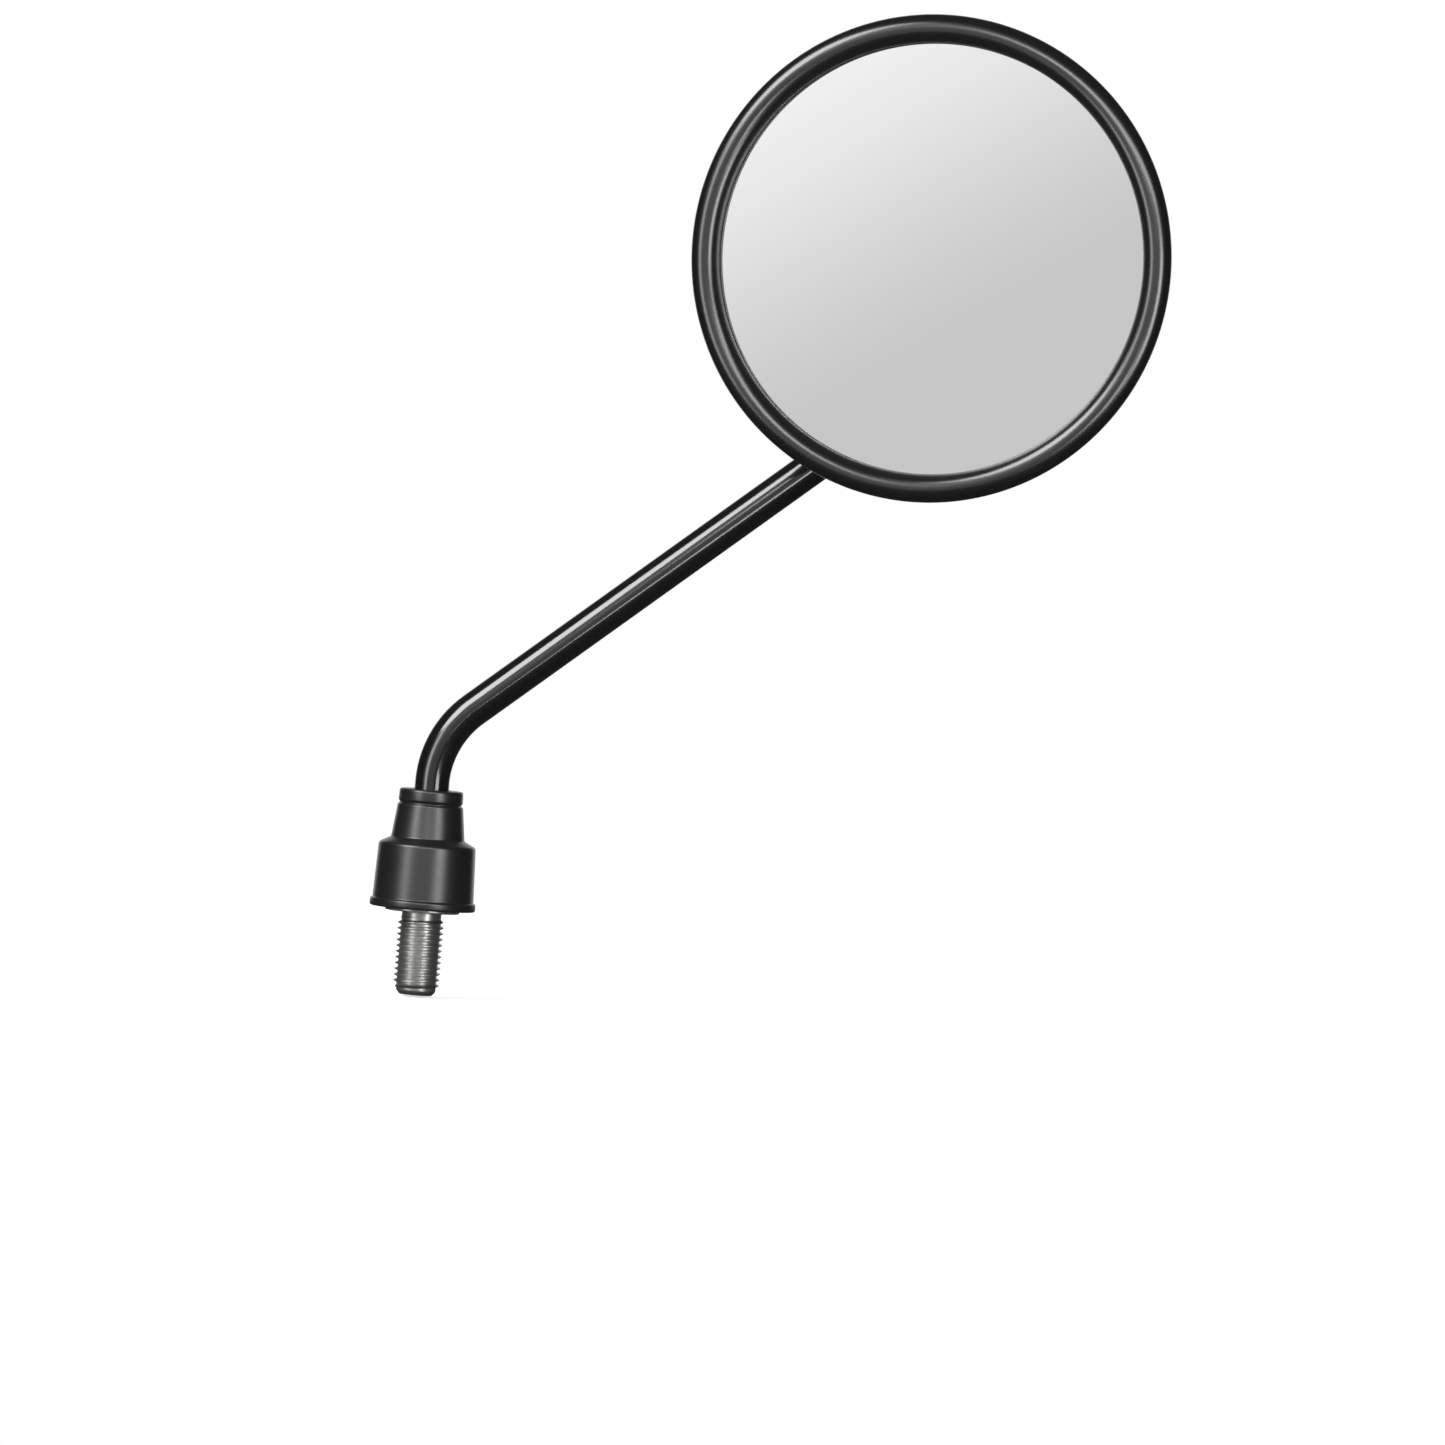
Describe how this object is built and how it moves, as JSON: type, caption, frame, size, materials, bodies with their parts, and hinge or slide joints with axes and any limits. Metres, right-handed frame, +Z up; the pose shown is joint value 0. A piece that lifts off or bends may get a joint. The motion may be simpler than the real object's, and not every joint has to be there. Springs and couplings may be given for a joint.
{
  "type": "bike mirror",
  "caption": "Round convex handlebar mirror on a bent steel stem, with a ball joint behind the head and a friction swivel on a threaded stud under a rubber boot.",
  "frame": {"origin": "on the stud's axis, in the plane where the seat washer rests on the perch", "axes": "+Z up along the stud and the stem's foot; +X to the side the stem leans to; the glass faces -Y, turned 12 degrees towards -X"},
  "size_m": [0.1589, 0.0651, 0.2175],
  "materials": {
    "plated_steel": "zinc plated, satin",
    "spring_steel": "oiled spring steel",
    "chrome_ball": "polished",
    "black_paint": "gloss black stove enamel",
    "black_rubber": "matt moulded rubber",
    "black_plastic": "gloss black",
    "grey_plastic": "as moulded",
    "nylon": "natural nylon",
    "foam": "closed-cell foam tape",
    "mirror": "silvered convex glass"
  },
  "bodies": {
    "base": {"stud_base": "plated_steel", "seat_washer": "plated_steel", "friction_washer": "nylon", "disc_spring": "spring_steel", "lock_nut": "plated_steel"},
    "stem": {"stem_rod": "black_paint", "swivel_collar": "plated_steel", "ball": "chrome_ball", "boot": "black_rubber"},
    "liner": {"ball_liner": "nylon"},
    "cup": {"pressure_cup": "nylon"},
    "head": {"rear_shell": "black_plastic", "rim_ring": "black_plastic", "glass_seal": "black_rubber", "mirror_glass": "mirror", "foam_pad": "foam", "backing_plate": "grey_plastic", "clamp_plate": "plated_steel", "clamp_screws": "plated_steel", "screw_washers": "spring_steel", "joint_spring": "spring_steel"}
  },
  "joints": [
    {"name": "stem_swing", "type": "hinge", "parent": "base", "child": "stem", "pos_m": [0, 0, 0.02], "axis": [0, 0, 1], "range_deg": [-175, 175]},
    {"name": "head_pan", "type": "hinge", "parent": "stem", "child": "liner", "pos_m": [0.10101, -0.02203, 0.14204], "axis": [0, 0, 1], "range_deg": [-12, 14]},
    {"name": "head_tilt", "type": "hinge", "parent": "liner", "child": "cup", "pos_m": [0.10101, -0.02203, 0.14204], "axis": [0.9781, -0.2079, 0], "range_deg": [-13, 13]},
    {"name": "head_spin", "type": "hinge", "parent": "cup", "child": "head", "pos_m": [0.10101, -0.02203, 0.14204], "axis": [-0.2079, -0.9781, 0], "range_deg": [-14, 14]}
  ]
}
